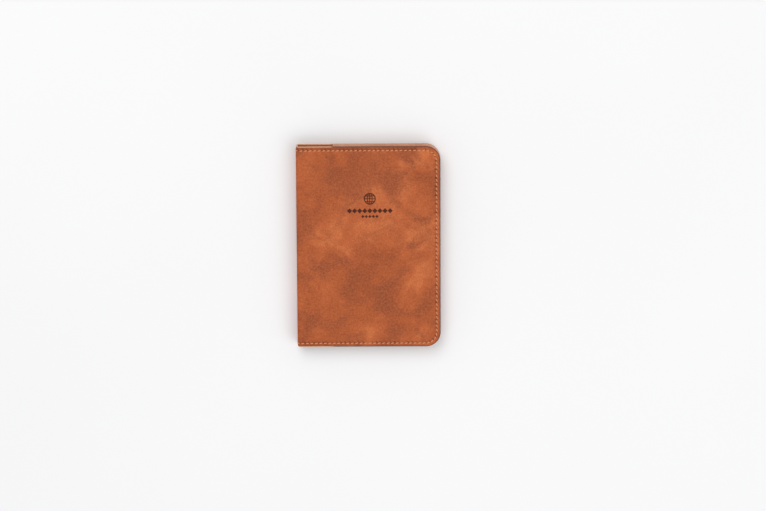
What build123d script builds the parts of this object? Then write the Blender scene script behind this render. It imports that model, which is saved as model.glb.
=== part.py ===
from build123d import *
import os
from math import atan2, degrees, sqrt

# Leather passport holder: a folding outer cover with a sewn sleeve in each leaf, for the passport's two
# covers, and two card pockets on the front leaf's sleeve.
#
# It lies closed on its back cover. X runs from the spine (-X) to the free edge (+X), Y from the bottom
# edge to the top edge (+Y), and Z up through the thickness, so the front cover faces +Z. The origin is the
# centre of the back face. Lengths are in millimetres and angles in degrees.

os.makedirs("parts", exist_ok=True)

# ---- closed size ----
WIDTH = 98.0             # spine to free edge
HEIGHT = 139.0           # bottom edge to top edge
THICK = 12.5             # back face to front face
CORNER_R = 10.0          # the four free corners

# ---- leathers ----
COVER_T = 1.4            # outer cover
SLEEVE_T = 1.0           # passport sleeves
SLEEVE_SLIT = 0.6        # room in an empty sleeve
SLEEVE_HEM = 4.5         # width of a sleeve's sewn border
MOUTH_INSET = 25.0       # spine to a sleeve's mouth
CARD_T = 0.8             # card pockets
CARD_SLIT = 0.5          # room in an empty card pocket
CARD_HEM = 3.5           # width of a card pocket's sewn border

# ---- folds: the cover bends round two equal corners, with a flat spine between them ----
FOLD_R = 3.6             # outer radius of a fold
HALF_FOLD = 45.0         # a leaf takes half of each quarter turn, and the spine takes the rest
FOLD_GAP = 3.0           # angle left open on each side of a fold's middle

# ---- edge seams ----
SEAM_INSET = 2.95        # edge of the leather to the stitch line
STITCH_PITCH = 3.0
STITCH_LENGTH = 2.2
STITCH_WIDTH = 0.7
STITCH_HEIGHT = 0.35
GROOVE_WIDTH = 1.0
GROOVE_DEPTH = 0.4

# ---- card pockets, one over the other, both open at the top ----
CARD_W = 62.0            # takes a card 54 wide
CARD_X = 11.0            # middle of the pockets
CARD_BOTTOM = -62.0
CARD_R = 3.0             # their lower corners
CARD_SEAM_INSET = 1.75
TALL_MOUTH = 30.0        # top edge of the pocket next to the sleeve
SHORT_MOUTH = 14.0       # top edge of the pocket over it

# ---- debossed mark: a plain globe over two rows of diamonds ----
MARK_X = 1.0
MARK_DEPTH = 0.25
MARK_LINE = 0.45
GLOBE_Y = 33.5
GLOBE_R = 4.0
MERIDIAN_R = 1.8         # half width of the bent meridians
PARALLEL_Y = 2.0         # globe's middle to its two parallels
ROW_Y = 25.2
ROW_COUNT = 9
ROW_PITCH = 3.45
DIAMOND = 2.25           # side of a diamond
SMALL_ROW_Y = 21.3
SMALL_ROW_COUNT = 5
SMALL_ROW_PITCH = 2.4
SMALL_DIAMOND = 1.3

# ---- worked out from the above ----
SPINE_X = -WIDTH / 2
EDGE_X = WIDTH / 2
TOP_Y = HEIGHT / 2
FOLD_X = SPINE_X + FOLD_R                # where a leaf's flat part starts
MOUTH_X = SPINE_X + MOUTH_INSET
SEAM_X = EDGE_X - SEAM_INSET
SEAM_Y = TOP_Y - SEAM_INSET
FOLD_IN_R = FOLD_R - COVER_T
BEND = HALF_FOLD - FOLD_GAP              # angle of leather on each side of a fold
SPINE_FLAT = THICK - 2 * FOLD_R
SLEEVE_Z = COVER_T + SLEEVE_SLIT         # underside of the back sleeve
SLEEVE_TOP = SLEEVE_Z + SLEEVE_T
CARD_SEAM_X = CARD_W / 2 - CARD_SEAM_INSET
CARD_SEAM_Y = CARD_BOTTOM + CARD_SEAM_INSET
PARALLEL_LENGTH = 2 * sqrt(GLOBE_R**2 - PARALLEL_Y**2)
BACK_FOLD = (FOLD_X, FOLD_R)             # fold centres, as (x, z)
FRONT_FOLD = (FOLD_X, THICK - FOLD_R)
MIDDLE = Plane.XY.offset(THICK / 2)      # halfway between the two leaves


def places_along(seam):
    """Evenly spaced places on a seam line, each turned to run along it."""
    wire = seam.wires()[0]
    count = round(wire.length / STITCH_PITCH)
    places = []
    for i in range(count):
        share = (i + 0.5) / count
        point, run = wire @ share, wire % share
        places.append(Location((point.X, point.Y, 0), (0, 0, degrees(atan2(run.Y, run.X)))))
    return places


# ---- seam lines and the places of their stitches ----
with BuildLine() as leaf_seam:
    FilletPolyline(
        (FOLD_X, -SEAM_Y), (SEAM_X, -SEAM_Y), (SEAM_X, SEAM_Y), (FOLD_X, SEAM_Y),
        radius=CORNER_R - SEAM_INSET,
    )
leaf_stitches = places_along(leaf_seam.line)
sleeve_stitches = [s for s in leaf_stitches if s.position.X > MOUTH_X + STITCH_LENGTH / 2]
bare_stitches = [s for s in leaf_stitches if s.position.X < MOUTH_X - STITCH_LENGTH / 2]

with BuildLine() as card_seam:
    FilletPolyline(
        (CARD_X - CARD_SEAM_X, TALL_MOUTH), (CARD_X - CARD_SEAM_X, CARD_SEAM_Y),
        (CARD_X + CARD_SEAM_X, CARD_SEAM_Y), (CARD_X + CARD_SEAM_X, TALL_MOUTH),
        radius=CARD_R - CARD_SEAM_INSET,
    )
card_stitches = places_along(card_seam.line)

# ---- outlines: a leaf's flat part, a sleeve, and the room inside a sleeve's border ----
with BuildSketch() as leaf_plan:
    with Locations((FOLD_X, 0)):
        Rectangle(EDGE_X - FOLD_X, HEIGHT, align=(Align.MIN, Align.CENTER))
    fillet(leaf_plan.vertices().group_by(Axis.X)[-1], CORNER_R)

with BuildSketch() as sleeve_plan:
    with Locations((MOUTH_X, 0)):
        Rectangle(EDGE_X - MOUTH_X, HEIGHT, align=(Align.MIN, Align.CENTER))
    fillet(sleeve_plan.vertices().group_by(Axis.X)[-1], CORNER_R)

with BuildSketch() as sleeve_room:
    with Locations((MOUTH_X, 0)):
        Rectangle(
            EDGE_X - MOUTH_X - SLEEVE_HEM, HEIGHT - 2 * SLEEVE_HEM, align=(Align.MIN, Align.CENTER)
        )
    fillet(sleeve_room.vertices().group_by(Axis.X)[-1], CORNER_R - SLEEVE_HEM)

# ---- outer cover: back leaf, front leaf and the spine between them ----
with BuildPart() as back_cover:
    with BuildSketch():
        add(leaf_plan.sketch)
    extrude(amount=COVER_T)
    with BuildSketch(Plane.XZ):
        with BuildLine():
            outer = CenterArc(BACK_FOLD, FOLD_R, 270, -BEND)
            inner = CenterArc(BACK_FOLD, FOLD_IN_R, 270, -BEND)
            Line(outer @ 0, inner @ 0)
            Line(outer @ 1, inner @ 1)
        make_face()
    extrude(amount=HEIGHT / 2, both=True)
    # groove of the outer seam
    with BuildSketch():
        trace(leaf_seam.line, line_width=GROOVE_WIDTH)
    extrude(amount=GROOVE_DEPTH, mode=Mode.SUBTRACT)
    # grooves inside, on the strip that the sleeve leaves bare
    with BuildSketch(Plane.XY.offset(COVER_T)):
        with Locations((FOLD_X, SEAM_Y), (FOLD_X, -SEAM_Y)):
            Rectangle(MOUTH_X - FOLD_X, GROOVE_WIDTH, align=(Align.MIN, Align.CENTER))
    extrude(amount=-GROOVE_DEPTH, mode=Mode.SUBTRACT)

with BuildPart() as front_cover:
    mirror(back_cover.part, about=MIDDLE)
    with BuildSketch(Plane.XY.offset(THICK)):
        with Locations((MARK_X, GLOBE_Y)):
            Circle(GLOBE_R)
            Circle(GLOBE_R - MARK_LINE, mode=Mode.SUBTRACT)
            Ellipse(MERIDIAN_R, GLOBE_R - MARK_LINE / 2)
            Ellipse(MERIDIAN_R - MARK_LINE, GLOBE_R - MARK_LINE, mode=Mode.SUBTRACT)
            Rectangle(2 * GLOBE_R - MARK_LINE, MARK_LINE)
            Rectangle(MARK_LINE, 2 * GLOBE_R - MARK_LINE)
        with Locations((MARK_X, GLOBE_Y + PARALLEL_Y), (MARK_X, GLOBE_Y - PARALLEL_Y)):
            Rectangle(PARALLEL_LENGTH - MARK_LINE, MARK_LINE)
        with Locations((MARK_X, ROW_Y)), GridLocations(ROW_PITCH, 1, ROW_COUNT, 1):
            Rectangle(DIAMOND, DIAMOND, rotation=45)
        with Locations((MARK_X, SMALL_ROW_Y)), GridLocations(SMALL_ROW_PITCH, 1, SMALL_ROW_COUNT, 1):
            Rectangle(SMALL_DIAMOND, SMALL_DIAMOND, rotation=45)
    extrude(amount=-MARK_DEPTH, mode=Mode.SUBTRACT)

with BuildPart() as spine_cover:
    with BuildSketch(Plane.XZ):
        with BuildLine():
            outer_low = CenterArc(BACK_FOLD, FOLD_R, 180, BEND)
            inner_low = CenterArc(BACK_FOLD, FOLD_IN_R, 180, BEND)
            outer_high = CenterArc(FRONT_FOLD, FOLD_R, 180, -BEND)
            inner_high = CenterArc(FRONT_FOLD, FOLD_IN_R, 180, -BEND)
            Line(outer_low @ 0, outer_high @ 0)
            Line(inner_low @ 0, inner_high @ 0)
            Line(outer_low @ 1, inner_low @ 1)
            Line(outer_high @ 1, inner_high @ 1)
        make_face()
    extrude(amount=HEIGHT / 2, both=True)
    # the seam crosses the spine near its top and bottom, outside and inside
    for face_x, cut in ((SPINE_X, GROOVE_DEPTH), (SPINE_X + COVER_T, -GROOVE_DEPTH)):
        with BuildSketch(Plane.YZ.offset(face_x)):
            with Locations((SEAM_Y, THICK / 2), (-SEAM_Y, THICK / 2)):
                Rectangle(GROOVE_WIDTH, SPINE_FLAT)
        extrude(amount=cut, mode=Mode.SUBTRACT)

# ---- passport sleeves: a flat panel on a sewn border that is open towards the spine ----
with BuildPart() as back_sleeve:
    with BuildSketch(Plane.XY.offset(SLEEVE_Z)):
        add(sleeve_plan.sketch)
    extrude(amount=SLEEVE_T)
    with BuildSketch(Plane.XY.offset(SLEEVE_TOP)):
        trace(leaf_seam.line, line_width=GROOVE_WIDTH)
    extrude(amount=-GROOVE_DEPTH, mode=Mode.SUBTRACT)

with BuildPart() as back_sleeve_hem:
    with BuildSketch(Plane.XY.offset(COVER_T)):
        add(sleeve_plan.sketch)
        add(sleeve_room.sketch, mode=Mode.SUBTRACT)
    extrude(amount=SLEEVE_SLIT)

with BuildPart() as front_sleeve:
    mirror(back_sleeve.part, about=MIDDLE)

with BuildPart() as front_sleeve_hem:
    mirror(back_sleeve_hem.part, about=MIDDLE)

# ---- thread of the edge seams, each stitch lying in its groove ----
with BuildPart() as back_outer_stitches:
    with BuildSketch(Plane.XY.offset(GROOVE_DEPTH)):
        with Locations(*leaf_stitches):
            SlotOverall(STITCH_LENGTH, STITCH_WIDTH)
    extrude(amount=-STITCH_HEIGHT)

with BuildPart() as back_inner_stitches:
    for face_z, stitches in ((COVER_T, bare_stitches), (SLEEVE_TOP, sleeve_stitches)):
        with BuildSketch(Plane.XY.offset(face_z - GROOVE_DEPTH)):
            with Locations(*stitches):
                SlotOverall(STITCH_LENGTH, STITCH_WIDTH)
        extrude(amount=STITCH_HEIGHT)

with BuildPart() as front_outer_stitches:
    mirror(back_outer_stitches.part, about=MIDDLE)

with BuildPart() as front_inner_stitches:
    mirror(back_inner_stitches.part, about=MIDDLE)

with BuildPart() as spine_stitches:
    for face_x, height in (
        (SPINE_X + GROOVE_DEPTH, -STITCH_HEIGHT), (SPINE_X + COVER_T - GROOVE_DEPTH, STITCH_HEIGHT)
    ):
        with BuildSketch(Plane.YZ.offset(face_x)):
            with Locations((SEAM_Y, THICK / 2), (-SEAM_Y, THICK / 2)):
                SlotOverall(STITCH_LENGTH, STITCH_WIDTH, rotation=90)
        extrude(amount=height)

for piece, name in (
    (back_cover, "back_cover"),
    (front_cover, "front_cover"),
    (spine_cover, "spine_cover"),
    (back_sleeve, "back_sleeve"),
    (back_sleeve_hem, "back_sleeve_hem"),
    (front_sleeve, "front_sleeve"),
    (front_sleeve_hem, "front_sleeve_hem"),
    (back_outer_stitches, "back_outer_stitches"),
    (back_inner_stitches, "back_inner_stitches"),
    (front_outer_stitches, "front_outer_stitches"),
    (front_inner_stitches, "front_inner_stitches"),
    (spine_stitches, "spine_stitches"),
):
    piece.part.label = name
    export_step(piece.part, f"parts/{name}.step")

# ---- card pockets: like the sleeves, a panel on a sewn border, but hanging from the front sleeve ----
for name, mouth_y, covered_y, face_z in (
    ("card_pocket_tall", TALL_MOUTH, SHORT_MOUTH, THICK - SLEEVE_TOP),
    ("card_pocket_short", SHORT_MOUTH, CARD_BOTTOM, THICK - SLEEVE_TOP - CARD_SLIT - CARD_T),
):
    height = mouth_y - CARD_BOTTOM
    inner_face_z = face_z - CARD_SLIT - CARD_T
    lowest, highest = covered_y + STITCH_LENGTH / 2, mouth_y - STITCH_LENGTH / 2
    shown = [s for s in card_stitches if lowest < s.position.Y < highest]

    with BuildSketch() as pocket_plan:
        with Locations((CARD_X, CARD_BOTTOM)):
            Rectangle(CARD_W, height, align=(Align.CENTER, Align.MIN))
        fillet(pocket_plan.vertices().group_by(Axis.Y)[0], CARD_R)

    with BuildPart() as hem:
        with BuildSketch(Plane.XY.offset(face_z)):
            add(pocket_plan.sketch)
            with Locations((CARD_X, CARD_BOTTOM + CARD_HEM)):
                Rectangle(
                    CARD_W - 2 * CARD_HEM, height - CARD_HEM,
                    align=(Align.CENTER, Align.MIN), mode=Mode.SUBTRACT,
                )
        extrude(amount=-CARD_SLIT)
    hem.part.label = f"{name}_hem"
    export_step(hem.part, f"parts/{name}_hem.step")

    with BuildPart() as panel:
        with BuildSketch(Plane.XY.offset(face_z - CARD_SLIT)):
            add(pocket_plan.sketch)
        extrude(amount=-CARD_T)
        # groove of the seam, on the part that no other pocket covers
        with BuildSketch(Plane.XY.offset(inner_face_z)):
            trace(card_seam.line, line_width=GROOVE_WIDTH)
            with Locations((CARD_X, covered_y)):
                Rectangle(
                    CARD_W, mouth_y - covered_y,
                    align=(Align.CENTER, Align.MIN), mode=Mode.INTERSECT,
                )
        extrude(amount=GROOVE_DEPTH, mode=Mode.SUBTRACT)
    panel.part.label = name
    export_step(panel.part, f"parts/{name}.step")

    with BuildPart() as stitches:
        with BuildSketch(Plane.XY.offset(inner_face_z + GROOVE_DEPTH)):
            with Locations(*shown):
                SlotOverall(STITCH_LENGTH, STITCH_WIDTH)
        extrude(amount=-STITCH_HEIGHT)
    stitches.part.label = f"{name}_stitches"
    export_step(stitches.part, f"parts/{name}_stitches.step")
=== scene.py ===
import math

import bmesh
import bpy
from mathutils import Matrix, Vector, kdtree


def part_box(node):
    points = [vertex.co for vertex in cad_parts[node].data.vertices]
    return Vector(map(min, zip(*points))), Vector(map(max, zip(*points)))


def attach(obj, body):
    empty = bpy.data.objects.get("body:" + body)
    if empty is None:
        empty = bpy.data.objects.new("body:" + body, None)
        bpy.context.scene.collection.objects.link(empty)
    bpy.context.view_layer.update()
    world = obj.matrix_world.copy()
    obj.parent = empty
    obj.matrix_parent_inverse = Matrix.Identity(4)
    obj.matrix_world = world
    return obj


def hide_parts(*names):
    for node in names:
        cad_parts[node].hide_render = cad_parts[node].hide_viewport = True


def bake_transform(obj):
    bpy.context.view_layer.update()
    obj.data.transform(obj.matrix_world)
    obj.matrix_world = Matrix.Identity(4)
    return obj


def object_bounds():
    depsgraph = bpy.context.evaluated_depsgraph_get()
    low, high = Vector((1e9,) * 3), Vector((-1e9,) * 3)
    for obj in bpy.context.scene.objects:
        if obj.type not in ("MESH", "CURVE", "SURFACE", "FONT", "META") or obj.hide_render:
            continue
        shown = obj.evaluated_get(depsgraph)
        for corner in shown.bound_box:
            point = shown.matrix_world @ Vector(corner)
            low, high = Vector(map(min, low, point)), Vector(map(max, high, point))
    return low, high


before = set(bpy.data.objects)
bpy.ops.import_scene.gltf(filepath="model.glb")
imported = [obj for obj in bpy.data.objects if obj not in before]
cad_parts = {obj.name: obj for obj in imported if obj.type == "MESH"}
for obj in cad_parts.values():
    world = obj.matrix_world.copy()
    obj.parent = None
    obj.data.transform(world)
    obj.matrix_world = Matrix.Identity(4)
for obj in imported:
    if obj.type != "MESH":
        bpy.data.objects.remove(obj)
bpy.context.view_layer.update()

MM = 0.001

# the holder lies on its back cover, spine at -X, free edge at +X, top edge at +Y
SPINE_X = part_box("spine_cover")[0][0]
EDGE_X, TOP_Y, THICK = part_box("front_cover")[1]
MOUTH_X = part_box("back_sleeve")[0][0]
TALL_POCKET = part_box("card_pocket_tall")
SHORT_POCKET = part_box("card_pocket_short")

COVER_T = 1.4 * MM
SLEEVE_T = 1.0 * MM
SLEEVE_RISE = 0.6 * MM       # how far the sleeve stands off the cover inside its seam
POCKET_T = 0.8 * MM
POCKET_RISE = 0.5 * MM
CORNER_R = 10 * MM
POCKET_R = 3 * MM
POCKET_RIM = 0.22 * MM
SWAY_HEIGHT = 0.7 * MM       # the whole of the leather's slow rise and fall
SWAY_SPREAD = 0.055          # metres, about the distance from one rise to the next

# the folds beside the spine, and where things lie when the cover is opened out flat
FOLD_R = 3.6 * MM
FOLD_X = SPINE_X + FOLD_R
BEND_R = 2.2 * MM            # the leather is creased a little sharper than the fold's full radius
FOLD_STRAIGHT = FOLD_R - BEND_R
BENDS = 12                   # small turns that make one fold
BEND_STEP = (BEND_R - COVER_T / 2) * math.pi / 2 / BENDS
FOLD_LENGTH = 2 * FOLD_STRAIGHT + BENDS * BEND_STEP
MID_X = FOLD_X - FOLD_LENGTH - (THICK - 2 * FOLD_R) / 2
FOLD_U = FOLD_X - MID_X

# the edge seam
SEAM_INSET = 2.7 * MM
SEAM_HALF_WIDTH = 0.5 * MM
GROOVE_DEPTH = 0.3 * MM
HOLE_DEPTH = 0.45 * MM
HOLE_R = 0.62 * MM
HOLE_SHIFT = 0.26 * MM       # the holes lie up and to the left of the seam line
MARGIN_DROP = 0.5 * MM
TOP_STITCHES = 30            # from the middle of the spine to the corner
CORNER_STITCHES = 4
SIDE_STITCHES = 40
SLEEVE_STITCHES = 21         # enough of the top seam to reach past the sleeve's mouth
STEPS_PER_STITCH = 6
TOP_PITCH = (EDGE_X - CORNER_R - MID_X) / TOP_STITCHES
THREAD_WIDTH = 0.74 * MM
THREAD_LENGTH = 2.35 * MM
THREAD_SLANT = math.radians(15)
THREAD_SHIFT = 0.16 * MM     # and the thread is pulled down and to the right of it
THREAD_DEPTH = 0.05 * MM     # the thread's middle lies this far down in its groove
STRAND_TWIST = 0.55 * MM
POCKET_SEAM_INSET = 1.75 * MM
POCKET_PITCH = 3 * MM
CREASE_INSET = 3 * MM        # the creased line beside the mouth of a sleeve or pocket
RIM = 0.55 * MM              # rounding of the cut edges

# the pressed mark
MARK_X = 1.0 * MM
MARK_LINE = 0.6 * MM
MARK_DEPTH = 0.28 * MM
GLOBE_Y = 33.5 * MM
GLOBE_R = 4.0 * MM
MERIDIAN_R = 1.6 * MM
PARALLEL_Y = 2.0 * MM
ROWS = (                     # height on the cover, count, pitch and half width of the diamonds
    (25.2 * MM, 9, 3.45 * MM, 1.6 * MM),
    (21.3 * MM, 5, 2.4 * MM, 0.95 * MM),
)
MARK_FIELD = ((-16.5 * MM, 18.5 * MM), (19 * MM, 39 * MM))   # the part of the cover that is finely divided


# ---------------------------------------------------------------- tools of the bench

def lay_out_slab(name, low, high):
    """A plain slab of leather between two corners, open for shaping."""
    bpy.ops.object.select_all(action="DESELECT")
    low, high = Vector(low), Vector(high)
    bpy.ops.mesh.primitive_cube_add(size=1, location=(low + high) / 2, scale=high - low)
    piece = bpy.context.object
    piece.name = piece.data.name = name
    bpy.ops.object.transform_apply(location=True, rotation=True, scale=True)
    bpy.ops.object.mode_set(mode="EDIT")
    return piece


def pick(piece, kind, test):
    """Select the corners, edges or faces that pass a test, and nothing else."""
    bpy.ops.mesh.select_mode(type=kind)
    bpy.ops.mesh.select_all(action="DESELECT")
    mesh = bmesh.from_edit_mesh(piece.data)
    for part in {"VERT": mesh.verts, "EDGE": mesh.edges, "FACE": mesh.faces}[kind]:
        if test(part):
            part.select_set(True)
    mesh.select_flush_mode()
    bmesh.update_edit_mesh(piece.data)


def choose(piece):
    bpy.ops.object.select_all(action="DESELECT")
    piece.select_set(True)
    bpy.context.view_layer.objects.active = piece


def open_up(piece):
    """Take one piece back on the bench for shaping."""
    choose(piece)
    bpy.ops.object.mode_set(mode="EDIT")


def close():
    bpy.ops.object.mode_set(mode="OBJECT")


def cut_line(place, direction, clear=False):
    """Score the sheet along a straight line, or cut it off there and close the cut."""
    bpy.ops.mesh.select_all(action="SELECT")
    bpy.ops.mesh.bisect(plane_co=place, plane_no=direction, threshold=1e-7,
                        clear_inner=clear, use_fill=clear)


def spans(edge, axis):
    """How far an edge runs along one axis."""
    return abs(edge.verts[0].co[axis] - edge.verts[1].co[axis])


def is_outline(edge):
    """An edge between the sheet's flat side and its cut edge."""
    tilts = sorted(abs(face.normal.z) for face in edge.link_faces)
    return len(tilts) == 2 and tilts[0] < 0.2 and tilts[1] > 0.9


def smooth(x):
    x = min(max(x, 0.0), 1.0)
    return x * x * (3 - 2 * x)


def press(piece, name, depth, how_much):
    """Push the sheet down (or up) along Z, by depth times how_much at each point."""
    group = piece.vertex_groups.new(name=name)
    for corner in piece.data.vertices:
        amount = how_much(corner.co)
        if amount > 0:
            group.add([corner.index], min(amount, 1.0), "REPLACE")
    pusher = piece.modifiers.new(name, "DISPLACE")
    pusher.direction = "Z"
    pusher.mid_level = 0
    pusher.strength = depth
    pusher.vertex_group = name
    bpy.context.view_layer.objects.active = piece
    bpy.ops.object.modifier_apply(modifier=name)
    piece.vertex_groups.remove(piece.vertex_groups[name])


def note(piece, name, value):
    """Keep a number for each point of the mesh, for the finish to read."""
    layer = piece.data.attributes.new(name, "FLOAT", "POINT")
    layer.data.foreach_set("value", [value(v.co) for v in piece.data.vertices])


def remember_flat(piece, side):
    """Keep each point's place on the opened-out cover, so that its pattern runs on round the folds."""
    layer = piece.data.attributes.new("laid_flat", "FLOAT_VECTOR", "POINT")
    flat = []
    for v in piece.data.vertices:
        flat += [side * (v.co.x - MID_X), v.co.y, v.co.z]
    layer.data.foreach_set("vector", flat)


def fold(piece):
    """Bend the strip beyond the fold line up through a right angle, one small bend at a time."""
    open_up(piece)
    for bend in reversed(range(BENDS)):
        away = FOLD_STRAIGHT + (bend + 0.5) * BEND_STEP
        mesh = bmesh.from_edit_mesh(piece.data)
        flat = mesh.verts.layers.float_vector["laid_flat"]
        pick(piece, "VERT", lambda v: abs(v[flat].x) < FOLD_U - away)
        bpy.ops.transform.rotate(
            value=-math.pi / 2 / BENDS, orient_axis="Y", center_override=(FOLD_X - away, 0, COVER_T / 2))
    close()


def turn_over(piece):
    """The front leaf is the back leaf's mirror image, turned over about the holder's middle."""
    open_up(piece)
    bpy.ops.mesh.select_all(action="SELECT")
    bpy.ops.transform.resize(value=(1, 1, -1), center_override=(0, 0, THICK / 2))
    bpy.ops.mesh.normals_make_consistent(inside=False)
    close()


def hand_sway(piece):
    """Leather is never quite flat: a slow rise and fall over the leaf, none at the fold."""
    free = piece.vertex_groups.new(name="free")
    for v in piece.data.vertices:
        free.add([v.index], smooth((v.co.x - FOLD_X - 2 * MM) / (14 * MM)), "REPLACE")
    sway = piece.modifiers.new("sway", "DISPLACE")
    sway.texture = bpy.data.textures.get("sway") or bpy.data.textures.new("sway", "CLOUDS")
    sway.texture.noise_scale = SWAY_SPREAD
    sway.texture.noise_depth = 0
    sway.texture_coords = "GLOBAL"
    sway.direction = "Z"
    sway.strength = SWAY_HEIGHT
    sway.mid_level = 0.5
    sway.vertex_group = "free"
    bpy.context.view_layer.objects.active = piece
    bpy.ops.object.modifier_apply(modifier="sway")
    piece.vertex_groups.remove(piece.vertex_groups["free"])


# ---------------------------------------------------------------- lines on the leather

def from_edge(x, y):
    """Distance in from the leaf's cut edge, round its two free corners."""
    dx, dy = EDGE_X - x, TOP_Y - abs(y)
    if dx < CORNER_R and dy < CORNER_R:
        return CORNER_R - math.hypot(CORNER_R - dx, CORNER_R - dy)
    return min(dx, dy)


def seam_holes():
    """Needle holes from the middle of the spine, round the free edge and back, as (x, y)."""
    bend = CORNER_R - SEAM_INSET
    turn_x, turn_y = EDGE_X - CORNER_R, TOP_Y - CORNER_R
    top = [(MID_X + TOP_PITCH * n, TOP_Y - SEAM_INSET) for n in range(TOP_STITCHES)]
    corner = []
    for n in range(CORNER_STITCHES):
        angle = math.pi / 2 * (1 - n / CORNER_STITCHES)
        corner.append((turn_x + bend * math.cos(angle), turn_y + bend * math.sin(angle)))
    half = SIDE_STITCHES // 2
    side = [(EDGE_X - SEAM_INSET, turn_y * (1 - n / half)) for n in range(half)]
    upper = top + corner + side
    return upper + [(EDGE_X - SEAM_INSET, 0.0)] + [(x, -y) for x, y in reversed(upper)]


def line_weight(distance, width):
    """A pressed line with softened sides."""
    return 1 - smooth((distance - width / 2 + 0.1 * MM) / (0.25 * MM))


def mark_press(point):
    """The mark: a globe over two rows of diamonds."""
    x, y = point.x - MARK_X, point.y
    up = y - GLOBE_Y
    radius = math.hypot(x, up)
    if radius < GLOBE_R + MM:
        lines = [line_weight(abs(radius - GLOBE_R + MARK_LINE / 2), MARK_LINE)]
        if radius < GLOBE_R:
            meridian = abs(abs(x) - MERIDIAN_R * math.sqrt(max(1 - (up / GLOBE_R) ** 2, 0)))
            lines += [line_weight(away, MARK_LINE * 0.8)
                      for away in (abs(x), meridian, abs(up), abs(abs(up) - PARALLEL_Y))]
        return max(lines)
    for row_y, count, pitch, half in ROWS:
        if abs(y - row_y) < half + MM and abs(x) < count / 2 * pitch:
            along = (x + count / 2 * pitch) % pitch - pitch / 2
            return 1 - smooth((abs(along) + abs(y - row_y) - half) / (0.25 * MM))
    return 0


# ---------------------------------------------------------------- sheets of the two leaves

def edge_sewn_sheet(name, cut_x, low_z, thickness, top_stitches):
    """A sheet as high as the holder, with two round corners, a rounded rim and its seam marked out."""
    left = EDGE_X - 2 * CORNER_R - top_stitches * TOP_PITCH
    piece = lay_out_slab(name, (left, -TOP_Y, low_z), (EDGE_X, TOP_Y, low_z + thickness))
    pick(piece, "EDGE", lambda e: spans(e, 2) > thickness / 2)
    bpy.ops.mesh.bevel(offset=CORNER_R, segments=CORNER_STITCHES * STEPS_PER_STITCH, affect="EDGES")
    pick(piece, "EDGE", lambda e: spans(e, 0) > CORNER_R)
    bpy.ops.mesh.subdivide(number_cuts=top_stitches * STEPS_PER_STITCH - 1)
    pick(piece, "EDGE", lambda e: spans(e, 1) > CORNER_R and e.verts[0].co.x > 0)
    bpy.ops.mesh.subdivide(number_cuts=SIDE_STITCHES * STEPS_PER_STITCH - 1)
    for side in (-1, 1):
        pick(piece, "FACE", lambda f: f.normal.z * side > 0.99)
        bpy.ops.mesh.dissolve_faces()
    pick(piece, "EDGE", is_outline)
    bpy.ops.mesh.bevel(offset=RIM, segments=3, affect="EDGES")
    for side in (-1, 1):
        pick(piece, "FACE", lambda f: f.normal.z * side > 0.99)
        bpy.ops.mesh.inset(thickness=SEAM_INSET - SEAM_HALF_WIDTH - RIM, depth=0)
        for ring in range(4):
            bpy.ops.mesh.inset(thickness=SEAM_HALF_WIDTH / 2, depth=0)
        for ring in range(3):
            bpy.ops.mesh.inset(thickness=1.2 * MM, depth=0)
    cut_line((cut_x, 0, 0), (1, 0, 0), clear=True)
    return piece


def score_grid(x_lines, y_lines):
    for x in x_lines:
        cut_line((x, 0, 0), (1, 0, 0))
    for y in y_lines:
        cut_line((0, y, 0), (0, 1, 0))


def even_lines(start, end, count):
    return [start + (end - start) * n / count for n in range(count + 1)]


def seam_groove(point):
    """Strongest on the seam line, gone half a width to either side."""
    off = abs(from_edge(point.x, point.y) - SEAM_INSET) / SEAM_HALF_WIDTH
    return 0 if off >= 1 else 0.5 + 0.5 * math.cos(math.pi * off)


def sink_seam(piece, outer_z, inner_z):
    """The thread pulls a groove into both sides, and the needle's holes go deeper; the finishes paint shade
    into the holes.
    """
    holes = seam_holes()
    tree = kdtree.KDTree(len(holes))
    for number, (x, y) in enumerate(holes):
        tree.insert((x - HOLE_SHIFT, y + HOLE_SHIFT, 0), number)
    tree.balance()

    def hole(point):
        return 1 - smooth(tree.find((point.x, point.y, 0))[2] / HOLE_R)

    for number, (z, push) in enumerate(((outer_z, 1), (inner_z, -1))):
        if z is None:
            continue
        press(piece, f"groove_{number}", push * GROOVE_DEPTH,
              lambda p: seam_groove(p) if abs(p.z - z) < 0.2 * MM else 0)
        press(piece, f"holes_{number}", push * HOLE_DEPTH,
              lambda p: hole(p) if abs(p.z - z) < 0.5 * MM else 0)
    # painted shade: how near each point lies to a needle hole, for the finishes to darken as shade in the
    # holes
    note(piece, "needle_hole_shade", hole)


def thinned_margin(point):
    """Outside the seam the leather is pared down towards its edge."""
    return max(1 - from_edge(point.x, point.y) / (SEAM_INSET - SEAM_HALF_WIDTH), 0) ** 1.6


def sort_faces(piece, outer, inner, edge):
    """Grain side, flesh side and cut edge each get their own finish."""
    for finish in (outer, inner, edge):
        piece.data.materials.append(finish)
    for face in piece.data.polygons:
        if face.normal.z < -0.98:
            face.material_index = 0
        else:
            face.material_index = 1 if face.normal.z > 0.98 else 2


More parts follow.
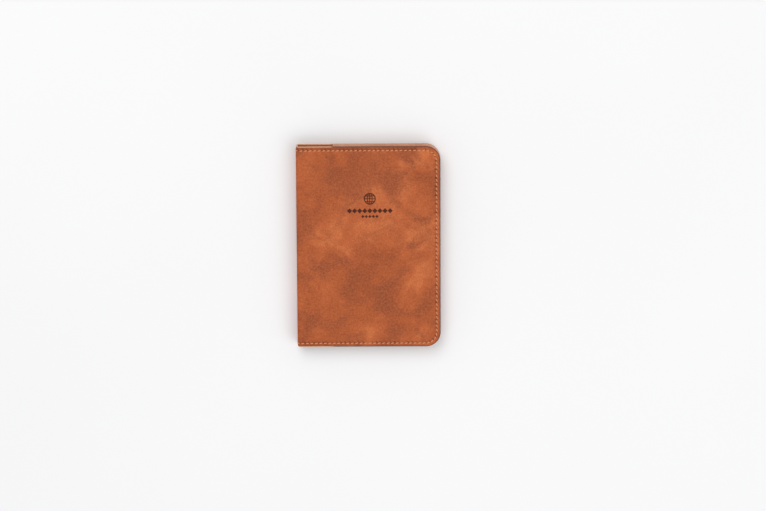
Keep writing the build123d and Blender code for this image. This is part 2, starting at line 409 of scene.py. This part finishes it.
def cover_half(name, side):
    """Half of the cover, from the middle of the spine to the free edge, laid flat with its grain down."""
    piece = edge_sewn_sheet(name, MID_X, 0, COVER_T, TOP_STITCHES + 1)
    score_grid([FOLD_X - FOLD_STRAIGHT - n * BEND_STEP for n in range(BENDS + 1)]
               + [MID_X + 0.7 * MM, FOLD_X - FOLD_LENGTH, FOLD_X - FOLD_STRAIGHT / 2]
               + [FOLD_X + d * MM for d in (0, 1, 2.5)],
               even_lines(-60 * MM, 60 * MM, 20))
    if side < 0:
        (left, right), (low, high) = MARK_FIELD
        score_grid(even_lines(-40.5 * MM, left, 6)[:-1] + even_lines(left, right, 12)
                   + even_lines(24 * MM, 42 * MM, 4),
                   even_lines(low, high, 7))
        pick(piece, "FACE", lambda f: f.normal.z < -0.99
             and left < f.calc_center_median().x < right and low < f.calc_center_median().y < high)
        bpy.ops.mesh.subdivide(number_cuts=15)
    else:
        score_grid(even_lines(-40.5 * MM, 42 * MM, 14), [])
    close()
    sort_faces(piece, grain_leather, flesh_side, cut_edge)
    note(piece, "rim", lambda p: from_edge(p.x, p.y))

    def mark(point):
        """Only the front leaf is stamped, and only on its grain side."""
        return mark_press(point) if side < 0 and point.z < 0.1 * MM else 0

    note(piece, "pressed", mark)
    sink_seam(piece, 0, COVER_T)
    press(piece, "margin", MARGIN_DROP, lambda p: thinned_margin(p) * smooth((COVER_T - p.z) / COVER_T))
    if side < 0:
        press(piece, "mark", MARK_DEPTH, mark)
    remember_flat(piece, side)
    hand_sway(piece)
    fold(piece)
    return piece


def sleeve_rise(point):
    """The sleeve is flat on the cover at its seam and stands off it further in."""
    return smooth((from_edge(point.x, point.y) - SEAM_INSET - SEAM_HALF_WIDTH) / (4 * MM))


def sleeve(name, side):
    """The pocket for a booklet's cover, sewn down on three edges, with a creased line beside its mouth."""
    piece = edge_sewn_sheet(name, MOUTH_X, COVER_T, SLEEVE_T, SLEEVE_STITCHES)
    score_grid([MOUTH_X + CREASE_INSET + d * MM for d in (-0.6, -0.3, 0, 0.3, 0.6)]
               + even_lines(-16 * MM, 42 * MM, 12),
               even_lines(-63 * MM, 63 * MM, 24))
    pick(piece, "EDGE", lambda e: is_outline(e)
         and all(abs(v.co.x - MOUTH_X) < 1e-6 and abs(v.co.y) < TOP_Y - 3 * MM for v in e.verts))
    bpy.ops.mesh.bevel(offset=0.25 * MM, segments=2, affect="EDGES")
    close()
    piece.data.materials.append(lining_leather)
    note(piece, "rim", lambda p: min(from_edge(p.x, p.y), p.x - MOUTH_X))
    sink_seam(piece, None, COVER_T + SLEEVE_T)
    middle_z = COVER_T + SLEEVE_T / 2
    press(piece, "crease", -0.16 * MM,
          lambda p: 1 - smooth(abs(p.x - MOUTH_X - CREASE_INSET) / (0.45 * MM)) if p.z > middle_z else 0)
    press(piece, "margin", -MARGIN_DROP / 2, lambda p: thinned_margin(p) if p.z > middle_z else 0)
    press(piece, "rise", SLEEVE_RISE, sleeve_rise)
    remember_flat(piece, side)
    hand_sway(piece)
    return piece


def pocket_inset(box):
    """Distance in from a card pocket's three sewn edges."""
    (low_x, low_y, _), (high_x, _, _) = box
    return lambda p: min(p.x - low_x, high_x - p.x, p.y - low_y)


def card_pocket(name, box, base_z, rise):
    """A card pocket lying on base_z, sewn at its sides and bottom, creased along its mouth."""
    (low_x, low_y, _), (high_x, high_y, _) = box
    inset = pocket_inset(box)
    piece = lay_out_slab(name, (low_x, low_y, base_z), (high_x, high_y, base_z + POCKET_T))
    pick(piece, "EDGE", lambda e: spans(e, 2) > POCKET_T / 2 and e.verts[0].co.y < low_y + MM)
    bpy.ops.mesh.bevel(offset=POCKET_R, segments=8, affect="EDGES")
    pick(piece, "EDGE", is_outline)
    bpy.ops.mesh.bevel(offset=POCKET_RIM, segments=2, affect="EDGES")
    seam_lines = [POCKET_SEAM_INSET + d * MM for d in (-0.5, -0.25, 0, 0.25, 0.5, 1.3, 2.5, 4)]
    crease_lines = [high_y - CREASE_INSET + d * MM for d in (-0.4, -0.2, 0, 0.2, 0.4)]
    score_grid([low_x + d for d in seam_lines] + [high_x - d for d in seam_lines]
               + even_lines(low_x + 8 * MM, high_x - 8 * MM, 12),
               [low_y + d for d in seam_lines] + crease_lines
               + even_lines(low_y + 8 * MM, high_y - 6 * MM, 14))
    close()
    for finish in (lining_leather, cut_edge):
        piece.data.materials.append(finish)
    for face in piece.data.polygons:
        face.material_index = 0 if abs(face.normal.z) > 0.8 else 1
    note(piece, "rim", lambda p: min(inset(p), high_y - p.y))
    # no painted shade for needle holes on the pockets
    note(piece, "needle_hole_shade", lambda p: 0)
    face_z = base_z + POCKET_T

    def groove(p):
        off = abs(inset(p) - POCKET_SEAM_INSET) / (0.5 * MM)
        return 0 if off >= 1 or p.z < face_z - 0.2 * MM else 0.5 + 0.5 * math.cos(math.pi * off)

    press(piece, "groove", -0.2 * MM, groove)
    press(piece, "crease", -0.14 * MM,
          lambda p: 1 - smooth(abs(high_y - p.y - CREASE_INSET) / (0.4 * MM))
          if p.z > face_z - 0.1 * MM else 0)
    press(piece, "rise", rise,
          lambda p: smooth((inset(p) - POCKET_SEAM_INSET - 0.4 * MM) / (2.5 * MM)))
    remember_flat(piece, -1)
    hand_sway(piece)
    return piece


# ---------------------------------------------------------------- thread

def one_stitch():
    """A short length of waxed thread lying on the leather, its ends going down the needle's holes."""
    bpy.ops.object.select_all(action="DESELECT")
    bpy.ops.mesh.primitive_uv_sphere_add(segments=8, ring_count=7, radius=0.5, rotation=(0, math.pi / 2, 0))
    stitch = bpy.context.object
    stitch.name = stitch.data.name = "stitch"
    bpy.ops.object.transform_apply(location=False, rotation=True, scale=False)
    bpy.ops.object.mode_set(mode="EDIT")
    pick(stitch, "VERT", lambda v: 0.15 < abs(v.co.x) < 0.35)
    bpy.ops.transform.resize(value=(1.22, 1.05, 1.05))
    pick(stitch, "VERT", lambda v: abs(v.co.x) > 0.4)
    bpy.ops.transform.resize(value=(1, 0.85, 0.85))
    bpy.ops.transform.translate(value=(0, 0, 0.55))
    bpy.ops.mesh.select_all(action="SELECT")
    bpy.ops.transform.resize(value=(THREAD_LENGTH, THREAD_WIDTH, 0.5 * MM), center_override=(0, 0, 0))
    close()
    stitch.data.shade_smooth()
    note(stitch, "along", lambda p: p.x)
    return stitch


def sew(name, holes, surface, slant, side):
    """Lay one stitch between each pair of needle holes, at the height that surface gives."""
    pattern = one_stitch()
    stitches = []
    for (x0, y0), (x1, y1) in zip(holes, holes[1:]):
        x, y = (x0 + x1) / 2 + THREAD_SHIFT, (y0 + y1) / 2 - THREAD_SHIFT
        stitch = pattern.copy()
        stitch.data = pattern.data.copy()
        stitch.matrix_world = (Matrix.Translation((x, y, surface(x)))
                               @ Matrix.Rotation(math.atan2(y1 - y0, x1 - x0) + slant, 4, "Z"))
        bpy.context.collection.objects.link(stitch)
        stitches.append(stitch)
    bpy.data.objects.remove(pattern)
    bpy.ops.object.select_all(action="DESELECT")
    for stitch in stitches:
        stitch.select_set(True)
    thread = stitches[0]
    bpy.context.view_layer.objects.active = thread
    bpy.ops.object.join()
    bpy.ops.object.transform_apply(location=True, rotation=True, scale=True)
    thread.name = thread.data.name = name
    thread.data.materials.append(waxed_thread)
    remember_flat(thread, side)
    return thread


def edge_thread(name, side, outside):
    """One leaf's share of the edge seam, on the grain side or on the inside."""
    def surface(x):
        if outside:
            return THREAD_DEPTH
        return COVER_T - THREAD_DEPTH + (SLEEVE_T if x > MOUTH_X else 0)

    thread = sew(name, seam_holes(), surface, THREAD_SLANT * (-side if outside else side), side)
    hand_sway(thread)
    fold(thread)
    return thread


def pocket_thread(name, box, surface_z, top_y):
    """Thread down one side of a card pocket, along the bottom and up the other side."""
    (low_x, low_y, _), (high_x, _, _) = box
    left, right, bottom = low_x + POCKET_SEAM_INSET, high_x - POCKET_SEAM_INSET, low_y + POCKET_SEAM_INSET
    rise = round((top_y - bottom) / POCKET_PITCH)
    across = round((right - left) / POCKET_PITCH)
    down = [(left, y) for y in even_lines(top_y, bottom, rise)]
    along = [(x, bottom) for x in even_lines(left, right, across)]
    up = [(right, y) for y in even_lines(bottom, top_y, rise)]
    thread = sew(name, down + along[1:] + up[1:], lambda x: surface_z, THREAD_SLANT, -1)
    hand_sway(thread)
    return thread


# ---------------------------------------------------------------- finishes

def dye(red, green, blue):
    """A colour swatch, given as it is read on a colour card from 0 to 255."""
    def light(value):
        value /= 255
        return value / 12.92 if value <= 0.04045 else ((value + 0.055) / 1.055) ** 2.4
    return (light(red), light(green), light(blue), 1.0)


def add(tree, kind, inputs=None, **settings):
    """Put a node in a tree. An input is a value, or an output of another node."""
    made = tree.nodes.new("ShaderNode" + kind)
    for key, value in settings.items():
        setattr(made, key, value)
    for key, value in (inputs or {}).items():
        if isinstance(value, bpy.types.NodeSocket):
            tree.links.new(value, made.inputs[key])
        else:
            made.inputs[key].default_value = value
    return made


def ramp(tree, factor, stops, interpolation="EASE"):
    """Colours or greys spread over a value."""
    made = add(tree, "ValToRGB", {"Fac": factor})
    band = made.color_ramp
    band.interpolation = interpolation
    while len(band.elements) < len(stops):
        band.elements.new(0.5)
    for element, (place, colour) in zip(band.elements, stops):
        element.position = place
        element.color = colour if isinstance(colour, tuple) else (colour, colour, colour, 1)
    return made.outputs["Color"]


def mix(tree, amount, first, second, blend="MIX"):
    made = add(tree, "Mix", data_type="RGBA", blend_type=blend)
    for socket, value in ((made.inputs[0], amount), (made.inputs[6], first), (made.inputs[7], second)):
        if isinstance(value, bpy.types.NodeSocket):
            tree.links.new(value, socket)
        else:
            socket.default_value = value
    return made.outputs[2]


def sums(tree, operation, first, second=0.5, clamp=False):
    return add(tree, "Math", {0: first, 1: second}, operation=operation, use_clamp=clamp).outputs[0]


def new_group(name, inputs, outputs):
    """A shared effect, with its named inputs and outputs."""
    group = bpy.data.node_groups.new(name, "ShaderNodeTree")
    for direction, sockets in (("INPUT", inputs), ("OUTPUT", outputs)):
        for label, (kind, value) in sockets.items():
            socket = group.interface.new_socket(label, in_out=direction, socket_type="NodeSocket" + kind)
            if value is not None:
                socket.default_value = value
    return group, group.nodes.new("NodeGroupInput").outputs, group.nodes.new("NodeGroupOutput").inputs


def build_mottling():
    """Where the oils in the hide have moved: wide soft patches, small clouds and fine specks."""
    group, given, result = new_group(
        "hide_mottling",
        {"Place": ("Vector", None), "Patch": ("Float", 60.0),
         "Cloud": ("Float", 280.0), "Speck": ("Float", 2200.0)},
        {"Patches": ("Float", None), "Clouds": ("Float", None), "Specks": ("Float", None)})
    wide = add(group, "TexNoise", {"Vector": given["Place"], "Scale": given["Patch"],
                                   "Detail": 3.0, "Roughness": 0.55, "Distortion": 0.6})
    small = add(group, "TexNoise", {"Vector": given["Place"], "Scale": given["Cloud"],
                                    "Detail": 4.0, "Roughness": 0.6, "Distortion": 0.3})
    fine = add(group, "TexNoise", {"Vector": given["Place"], "Scale": given["Speck"],
                                   "Detail": 3.0, "Roughness": 0.65})
    for label, source, low, high in (("Patches", wide, 0.33, 0.67), ("Clouds", small, 0.3, 0.7),
                                     ("Specks", fine, 0.3, 0.7)):
        spread = add(group, "MapRange", {"Value": source.outputs["Fac"], "From Min": low, "From Max": high})
        group.links.new(spread.outputs[0], result[label])
    return group


def build_grain():
    """The hide's fine pebbled grain: cells with creases between them, and pores, and a mask for painted
    shade in the creases.
    """
    group, given, result = new_group(
        "leather_grain", {"Place": ("Vector", None), "Cells": ("Float", 1500.0)},
        {"Height": ("Float", None), "CreaseShade": ("Float", None)})
    stray = add(group, "TexNoise", {"Vector": given["Place"], "Scale": 900.0, "Detail": 2.0})
    nudge = add(group, "VectorMath", {0: stray.outputs["Color"], 1: (0.0006, 0.0006, 0.0006)},
                operation="MULTIPLY")
    place = add(group, "VectorMath", {0: given["Place"], 1: nudge.outputs[0]}, operation="ADD")
    cells = add(group, "TexVoronoi", {"Vector": place.outputs[0], "Scale": given["Cells"]},
                feature="DISTANCE_TO_EDGE")
    crease = add(group, "MapRange", {"Value": cells.outputs["Distance"], "From Max": 0.22})
    pores = add(group, "TexNoise", {"Vector": given["Place"], "Scale": 3800.0, "Detail": 2.0})
    height = sums(group, "ADD", sums(group, "MULTIPLY", crease.outputs[0], 0.6),
                  sums(group, "MULTIPLY", pores.outputs["Fac"], 0.5))
    group.links.new(height, result["Height"])
    # painted shade: strongest along the creases between the cells
    group.links.new(sums(group, "SUBTRACT", 1.0, crease.outputs[0]), result["CreaseShade"])
    return group


def build_edge_wear():
    """A band along the cut edge, from how far in from it each point lies."""
    group, given, result = new_group(
        "edge_wear", {"Place": ("Vector", None), "Width": ("Float", 0.0016)}, {"Wear": ("Float", None)})
    rim = add(group, "Attribute", attribute_name="rim")
    ragged = add(group, "TexNoise", {"Vector": given["Place"], "Scale": 500.0, "Detail": 3.0})
    reach = sums(group, "MULTIPLY", given["Width"], sums(group, "ADD", ragged.outputs["Fac"], 0.5))
    band = add(group, "MapRange", {"Value": rim.outputs["Fac"], "From Max": reach,
                                   "To Min": 1.0, "To Max": 0.0}, interpolation_type="SMOOTHSTEP")
    group.links.new(band.outputs[0], result["Wear"])
    return group


hide_mottling = build_mottling()
leather_grain = build_grain()
edge_wear = build_edge_wear()


def new_finish(name, roughness, **constants):
    """A material with its shader and the place of each point on the opened-out leather."""
    finish = bpy.data.materials.new(name)
    finish.use_nodes = True
    tree = finish.node_tree
    shader = tree.nodes["Principled BSDF"]
    shader.inputs["Roughness"].default_value = roughness
    for key, value in constants.items():
        shader.inputs[key.replace("_", " ")].default_value = value
    place = add(tree, "Attribute", attribute_name="laid_flat").outputs["Vector"]
    return finish, tree, shader, place


def use_group(tree, group, **inputs):
    made = add(tree, "Group", node_tree=group)
    for key, value in inputs.items():
        if isinstance(value, bpy.types.NodeSocket):
            tree.links.new(value, made.inputs[key])
        else:
            made.inputs[key].default_value = value
    return made.outputs


def bump(tree, shader, height, strength, distance):
    made = add(tree, "Bump", {"Height": height, "Strength": strength, "Distance": distance})
    tree.links.new(made.outputs[0], shader.inputs["Normal"])


def make_grain_leather():
    """Waxed pull-up leather: rust brown, with wide light patches and darker, waxy clouds."""
    finish, tree, shader, place = new_finish("pull_up_leather", 0.5, Specular_IOR_Level=0.2)
    cloudy = use_group(tree, hide_mottling, Place=place, Patch=27.0, Cloud=110.0, Speck=1350.0)
    shadow = add(tree, "Mapping", {"Vector": place, "Location": (0.31, 0.17, 0.0)}).outputs[0]
    waxy = use_group(tree, hide_mottling, Place=shadow, Patch=48.0, Cloud=300.0, Speck=700.0)
    grain = use_group(tree, leather_grain, Place=place)
    worn = use_group(tree, edge_wear, Place=place, Width=0.0010)
    up_cover = add(tree, "SeparateXYZ", {0: place}).outputs[1]
    # a band along the top edge, from about the seam line outward
    near_top_edge = add(tree, "MapRange", {"Value": up_cover, "From Min": TOP_Y - 3.1 * MM,
                                     "From Max": TOP_Y - 1.9 * MM},
                  interpolation_type="SMOOTHSTEP").outputs[0]
    tone = sums(tree, "ADD", sums(tree, "MULTIPLY", cloudy["Patches"], 0.72),
                sums(tree, "MULTIPLY", cloudy["Clouds"], 0.28))
    colour = ramp(tree, tone, [(0.18, dye(148, 66, 28)), (0.42, dye(173, 82, 39)),
                               (0.6, dye(192, 96, 49)), (0.85, dye(218, 120, 68))])
    wax = ramp(tree, sums(tree, "ADD", sums(tree, "MULTIPLY", waxy["Patches"], 0.8),
                          sums(tree, "MULTIPLY", waxy["Clouds"], 0.2)), [(0.34, 0.0), (0.95, 0.95)])
    grainy = sums(tree, "ADD", sums(tree, "MULTIPLY", cloudy["Specks"], 0.9), 0.5)
    colour = mix(tree, sums(tree, "MULTIPLY", wax, grainy, clamp=True), colour, dye(128, 60, 35))
    colour = mix(tree, sums(tree, "MULTIPLY", cloudy["Specks"], 0.6), colour, dye(146, 64, 28))
    colour = mix(tree, sums(tree, "MULTIPLY", waxy["Specks"], 0.32), colour, dye(226, 136, 82))
    # painted shade darkening the grain's creases
    colour = mix(tree, sums(tree, "MULTIPLY", grain["CreaseShade"], 0.35), colour, dye(112, 50, 26))
    # darker along the top margin
    colour = mix(tree, sums(tree, "MULTIPLY", near_top_edge, 0.38), colour, dye(110, 48, 22))
    colour = mix(tree, sums(tree, "MULTIPLY", worn["Wear"], 0.75), colour, dye(104, 54, 30))
    # painted shade in the needle holes, darkened to a near black brown
    needle_hole_shade = add(tree, "Attribute", attribute_name="needle_hole_shade").outputs["Fac"]
    colour = mix(tree, sums(tree, "MULTIPLY", needle_hole_shade, 0.95), colour, dye(62, 26, 12))
    pressed = add(tree, "Attribute", attribute_name="pressed").outputs["Fac"]
    colour = mix(tree, sums(tree, "MULTIPLY", pressed, 0.95), colour, dye(58, 22, 10))
    tree.links.new(colour, shader.inputs["Base Color"])
    dull = add(tree, "MapRange", {"Value": tone, "To Min": 0.44, "To Max": 0.6})
    tree.links.new(dull.outputs[0], shader.inputs["Roughness"])
    height = sums(tree, "ADD", grain["Height"], sums(tree, "MULTIPLY", cloudy["Specks"], 0.3))
    bump(tree, shader, height, 0.35, 0.00012)
    return finish


def make_lining_leather():
    """The sleeves and pockets: undyed-looking tan lining leather with a tighter grain."""
    finish, tree, shader, place = new_finish("lining_leather", 0.6, Specular_IOR_Level=0.3)
    cloudy = use_group(tree, hide_mottling, Place=place, Patch=45.0)
    grain = use_group(tree, leather_grain, Place=place, Cells=2100.0)
    worn = use_group(tree, edge_wear, Place=place, Width=0.0004)
    tone = sums(tree, "ADD", sums(tree, "MULTIPLY", cloudy["Patches"], 0.6),
                sums(tree, "MULTIPLY", cloudy["Clouds"], 0.4))
    colour = ramp(tree, tone, [(0.1, dye(208, 146, 112)), (0.5, dye(223, 164, 131)),
                               (0.9, dye(233, 178, 146))])
    colour = mix(tree, sums(tree, "MULTIPLY", cloudy["Specks"], 0.25), colour, dye(184, 122, 90))
    # painted shade darkening the grain's creases
    colour = mix(tree, sums(tree, "MULTIPLY", grain["CreaseShade"], 0.2), colour, dye(160, 102, 74))
    colour = mix(tree, sums(tree, "MULTIPLY", worn["Wear"], 0.35), colour, dye(150, 92, 62))
    # painted shade in the needle holes
    needle_hole_shade = add(tree, "Attribute", attribute_name="needle_hole_shade").outputs["Fac"]
    colour = mix(tree, sums(tree, "MULTIPLY", needle_hole_shade, 0.85), colour, dye(96, 52, 34))
    tree.links.new(colour, shader.inputs["Base Color"])
    bump(tree, shader, grain["Height"], 0.3, 0.0001)
    return finish


def make_flesh_side():
    """The cover's inside: the hide's short-napped flesh side, brown and matt."""
    finish, tree, shader, place = new_finish("flesh_side", 0.92, Specular_IOR_Level=0.15, Sheen_Weight=0.25)
    cloudy = use_group(tree, hide_mottling, Place=place, Patch=80.0, Cloud=420.0, Speck=2600.0)
    nap = add(tree, "TexNoise", {"Vector": place, "Scale": 3200.0, "Detail": 4.0,
                                 "Roughness": 0.75}).outputs["Fac"]
    colour = ramp(tree, cloudy["Clouds"], [(0.0, dye(150, 92, 62)), (0.5, dye(170, 108, 75)),
                                           (1.0, dye(186, 122, 88))])
    colour = mix(tree, sums(tree, "MULTIPLY", cloudy["Specks"], 0.4), colour, dye(118, 68, 43))
    tree.links.new(colour, shader.inputs["Base Color"])
    bump(tree, shader, sums(tree, "ADD", nap, sums(tree, "MULTIPLY", cloudy["Specks"], 0.5)), 0.5, 0.00016)
    return finish


def make_cut_edge():
    """Cut edges: rubbed dark where two layers are sewn together, left raw and paler beside the spine."""
    finish, tree, shader, place = new_finish("cut_edge", 0.42, Specular_IOR_Level=0.4)
    apart = add(tree, "SeparateXYZ", {0: place}).outputs
    along = add(tree, "Math", {0: apart[0]}, operation="ABSOLUTE").outputs[0]
    rubbed = add(tree, "MapRange", {"Value": along, "From Min": MOUTH_X - MID_X - 0.0015,
                                    "From Max": MOUTH_X - MID_X + 0.0005}).outputs[0]
    flat_fibres = add(tree, "Mapping", {"Vector": place, "Scale": (1, 1, 6)})
    fibres = add(tree, "TexNoise", {"Vector": flat_fibres.outputs[0], "Scale": 900.0, "Detail": 4.0,
                                    "Roughness": 0.7}).outputs["Fac"]
    raw = ramp(tree, fibres, [(0.3, dye(190, 128, 92)), (0.7, dye(226, 168, 132))])
    dark = ramp(tree, fibres, [(0.3, dye(80, 40, 23)), (0.7, dye(118, 63, 38))])
    colour = mix(tree, rubbed, raw, dark)
    tree.links.new(colour, shader.inputs["Base Color"])
    bump(tree, shader, fibres, 0.4, 0.0001)
    return finish


def make_waxed_thread():
    """Two strands twisted together and waxed."""
    finish, tree, shader, place = new_finish("waxed_thread", 0.55, Specular_IOR_Level=0.35, Sheen_Weight=0.1)
    along = add(tree, "Attribute", attribute_name="along").outputs["Fac"]
    turns = sums(tree, "SINE", sums(tree, "MULTIPLY", along, 2 * math.pi / STRAND_TWIST))
    strand = add(tree, "MapRange", {"Value": turns, "From Min": -1.0, "From Max": 1.0}).outputs[0]
    fuzz = add(tree, "TexNoise", {"Vector": place, "Scale": 2500.0, "Detail": 3.0}).outputs["Fac"]
    tone = sums(tree, "ADD", sums(tree, "MULTIPLY", strand, 0.6), sums(tree, "MULTIPLY", fuzz, 0.4))
    colour = ramp(tree, tone, [(0.15, dye(190, 110, 68)), (0.5, dye(220, 140, 94)),
                               (0.9, dye(236, 164, 118))])
    tree.links.new(colour, shader.inputs["Base Color"])
    bump(tree, shader, tone, 0.4, 0.0001)
    return finish


grain_leather = make_grain_leather()
lining_leather = make_lining_leather()
flesh_side = make_flesh_side()
cut_edge = make_cut_edge()
waxed_thread = make_waxed_thread()


# ---------------------------------------------------------------- making up the holder

def finish_piece(piece, replaced, body=None, angle=40):
    """Smooth the shading, hide the parts that the piece replaces, and hang it on the body that carries it,
    if it has one.
    """
    choose(piece)
    bpy.ops.object.shade_smooth_by_angle(angle=math.radians(angle))
    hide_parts(*replaced)
    if body:
        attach(piece, body)
    elif piece.name.startswith("back"):
        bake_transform(piece)
    else:
        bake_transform(piece)


def make_leaf(leaf, side):
    """Cover half, sleeve and edge seam of a leaf: 1 is the back, -1 the front, which is turned over."""
    cover = cover_half(f"{leaf}_cover_leather", side)
    lining = sleeve(f"{leaf}_sleeve_lining", side)
    outer = edge_thread(f"{leaf}_outer_thread", side, outside=True)
    inner = edge_thread(f"{leaf}_inner_thread", side, outside=False)
    if side < 0:
        for piece in (cover, lining, outer, inner):
            turn_over(piece)
    finish_piece(cover, [f"{leaf}_cover", "spine_cover"])
    finish_piece(lining, [f"{leaf}_sleeve", f"{leaf}_sleeve_hem"], body=f"{leaf}_leaf")
    finish_piece(outer, [f"{leaf}_outer_stitches", "spine_stitches"], angle=80)
    finish_piece(inner, [f"{leaf}_inner_stitches", "spine_stitches"], angle=80)


def make_card_pockets():
    """Two card pockets, one over the other, on the front leaf's sleeve."""
    base = COVER_T + SLEEVE_RISE + SLEEVE_T
    tall = card_pocket("card_pocket_tall_leather", TALL_POCKET, base, POCKET_RISE)
    short = card_pocket("card_pocket_short_leather", SHORT_POCKET, base + POCKET_T, 2 * POCKET_RISE)
    tall_thread = pocket_thread("card_pocket_tall_thread", TALL_POCKET, base + POCKET_T,
                                TALL_POCKET[1][1] - 1.5 * MM)
    short_thread = pocket_thread("card_pocket_short_thread", SHORT_POCKET, base + 2 * POCKET_T,
                                 SHORT_POCKET[1][1] - 1.5 * MM)
    for piece in (tall, short, tall_thread, short_thread):
        turn_over(piece)
    for name, leather, thread in (("tall", tall, tall_thread), ("short", short, short_thread)):
        node = f"card_pocket_{name}"
        finish_piece(leather, [node, f"{node}_hem"], body="front_leaf")
        finish_piece(thread, [f"{node}_stitches"], body="front_leaf", angle=80)


make_leaf("back", 1)
make_leaf("front", -1)
make_card_pockets()


# ---------------------------------------------------------------- studio

def make_table():
    """A wide, flat, pale table just under the holder's lowest point."""
    bpy.ops.object.select_all(action="DESELECT")
    table_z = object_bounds()[0][2] - 0.02 * MM
    bpy.ops.mesh.primitive_plane_add(size=12, location=(0, 0, table_z))
    table = bpy.context.object
    table.name = table.data.name = "studio_table"
    bpy.ops.object.transform_apply(location=True, rotation=True, scale=True)
    finish = bpy.data.materials.new("pale_table")
    finish.use_nodes = True
    tree = finish.node_tree
    shader = tree.nodes["Principled BSDF"]
    shader.inputs["Roughness"].default_value = 0.8
    shader.inputs["Specular IOR Level"].default_value = 0.1
    place = add(tree, "TexCoord").outputs["Object"]
    faint = add(tree, "TexNoise", {"Vector": place, "Scale": 3.0, "Detail": 2.0}).outputs["Fac"]
    tree.links.new(ramp(tree, faint, [(0.3, dye(239, 239, 240)), (0.7, dye(241, 241, 242))]),
                   shader.inputs["Base Color"])
    table.data.materials.append(finish)


def soft_light(name, place, size, power):
    """A big softbox aimed at the holder. Its place and size are in metres, its power in watts."""
    lamp = bpy.data.lights.new(name, "AREA")
    lamp.shape = "SQUARE"
    lamp.size = size
    lamp.energy = power
    stand = bpy.data.objects.new(name, lamp)
    stand.location = place
    stand.rotation_euler = (-Vector(place)).to_track_quat("-Z", "Y").to_euler()
    bpy.context.collection.objects.link(stand)


def light_studio():
    """White light from all round, a key from the upper left and a weaker fill from the lower right."""
    room = bpy.data.worlds.new("studio")
    room.use_nodes = True
    white = room.node_tree.nodes["Background"]
    white.inputs["Color"].default_value = (1, 1, 1, 1)
    white.inputs["Strength"].default_value = 0.6
    bpy.context.scene.world = room
    soft_light("key_softbox", (-0.6, 1.5, 2.3), 1.8, 32)
    soft_light("fill_softbox", (1.3, -1.0, 2.2), 2.2, 22)


def set_camera():
    """Looks down on the front cover from over two metres, tipped a little so that the top edge shows."""
    tilt = math.radians(11.4)
    roll = math.radians(-0.28)
    distance = 2.25
    aim = Vector((9.8 * MM, -5.75 * MM, THICK))
    view = bpy.data.cameras.new("camera")
    view.sensor_width = 36
    view.lens = 155.3
    stand = bpy.data.objects.new("camera", view)
    stand.location = aim + distance * Vector((0, math.sin(tilt), math.cos(tilt)))
    stand.rotation_euler = (Matrix.Rotation(-tilt, 3, "X") @ Matrix.Rotation(roll, 3, "Z")).to_euler()
    bpy.context.collection.objects.link(stand)
    bpy.context.scene.camera = stand
    bpy.context.scene.view_settings.view_transform = "Standard"


make_table()
light_studio()
set_camera()
